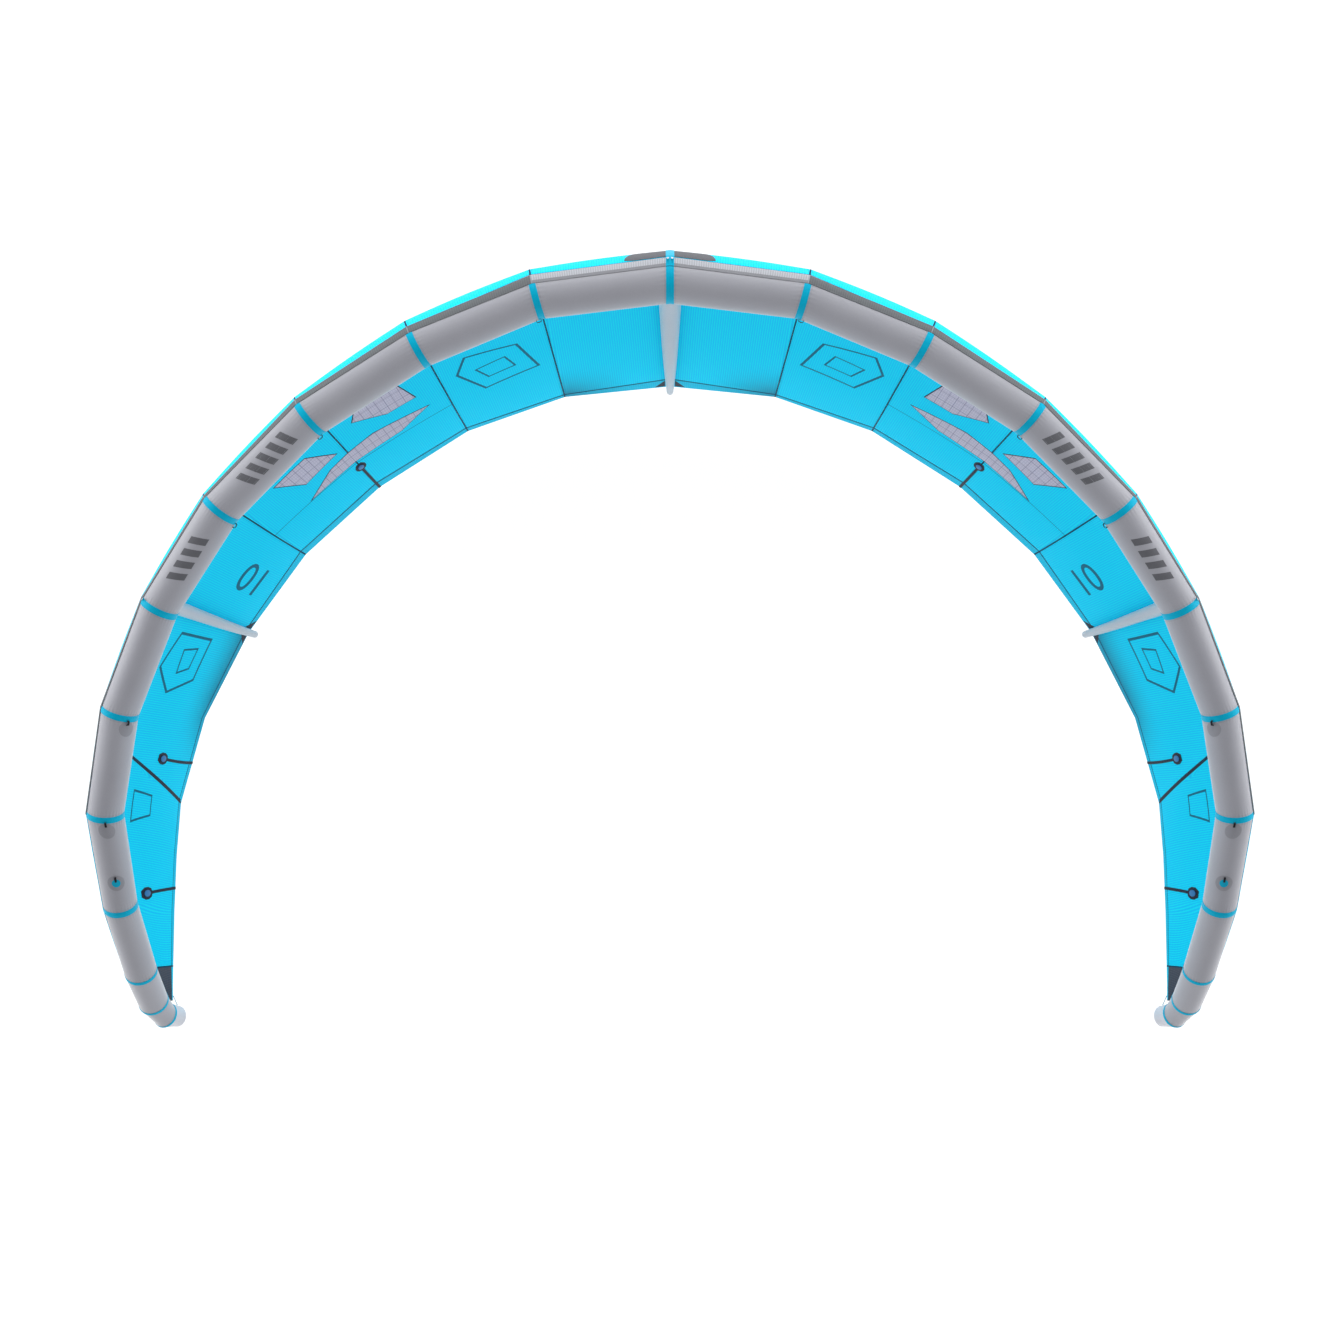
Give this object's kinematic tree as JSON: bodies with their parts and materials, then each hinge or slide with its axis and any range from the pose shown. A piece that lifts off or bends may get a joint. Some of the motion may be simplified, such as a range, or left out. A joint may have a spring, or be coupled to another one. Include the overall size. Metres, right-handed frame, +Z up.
{
  "type": "kitesurfing kite",
  "caption": "Inflated kitesurfing kite: arched sectioned leading tube, ribbed cyan canopy, tapered struts, battens and line tabs, standing on strut ends and tips.",
  "frame": {"origin": "on the floor that the kite stands on, under the middle of its overall box", "axes": "+X to the kite's own left wing tip, which is on the right for someone facing the leading edge; +Y from the wing tips towards the crown; +Z up"},
  "size_m": [3.9906, 2.513, 1.8909],
  "materials": {
    "tube": "smooth woven polyester, silver grey",
    "canopy": "ripstop cloth, bright cyan, slightly see-through",
    "cover": "matt woven polyester, dark grey",
    "tip_panel": "matt woven polyester, slate grey",
    "strut": "smooth woven polyester, pale grey",
    "batten": "rod in a dark cloth pocket",
    "webbing": "black polyester webbing",
    "line": "braided line, pale grey"
  },
  "bodies": {
    "root": {"tube_panel_right_1": "tube", "tube_panel_left_1": "tube", "tube_panel_right_2": "tube", "tube_panel_left_2": "tube", "tube_panel_right_3": "tube", "tube_panel_left_3": "tube", "tube_panel_right_4": "tube", "tube_panel_left_4": "tube", "tube_panel_right_5": "tube", "tube_panel_left_5": "tube", "tube_panel_right_6": "tube", "tube_panel_left_6": "tube", "tube_panel_right_7": "tube", "tube_panel_left_7": "tube", "tube_panel_right_8": "tube", "tube_panel_left_8": "tube", "tube_panel_right_9": "tube", "tube_panel_left_9": "tube", "tube_tip_right": "tube", "tube_tip_left": "tube", "cover_strip_right": "cover", "cover_strip_left": "cover", "canopy_right_1": "canopy", "canopy_left_1": "canopy", "canopy_right_2": "canopy", "canopy_left_2": "canopy", "canopy_right_3": "canopy", "canopy_left_3": "canopy", "canopy_right_4": "canopy", "canopy_left_4": "canopy", "canopy_right_5": "canopy", "canopy_left_5": "canopy", "canopy_right_6": "canopy", "canopy_left_6": "canopy", "canopy_right_7": "canopy", "canopy_left_7": "canopy", "tip_panel_right": "tip_panel", "tip_panel_left": "tip_panel", "strut_center": "strut", "strut_right": "strut", "strut_left": "strut", "batten_right_1": "batten", "batten_left_1": "batten", "batten_right_2": "batten", "batten_left_2": "batten", "batten_right_3": "batten", "batten_left_3": "batten", "line_tab_right_1": "webbing", "line_tab_left_1": "webbing", "line_tab_right_2": "webbing", "line_tab_left_2": "webbing", "line_tab_right_3": "webbing", "line_tab_left_3": "webbing", "line_tab_right_4": "webbing", "line_tab_left_4": "webbing", "line_tab_right_5": "webbing", "line_tab_left_5": "webbing", "tip_line_right": "line", "tip_line_left": "line", "crown_patch": "cover"}
  },
  "joints": []
}
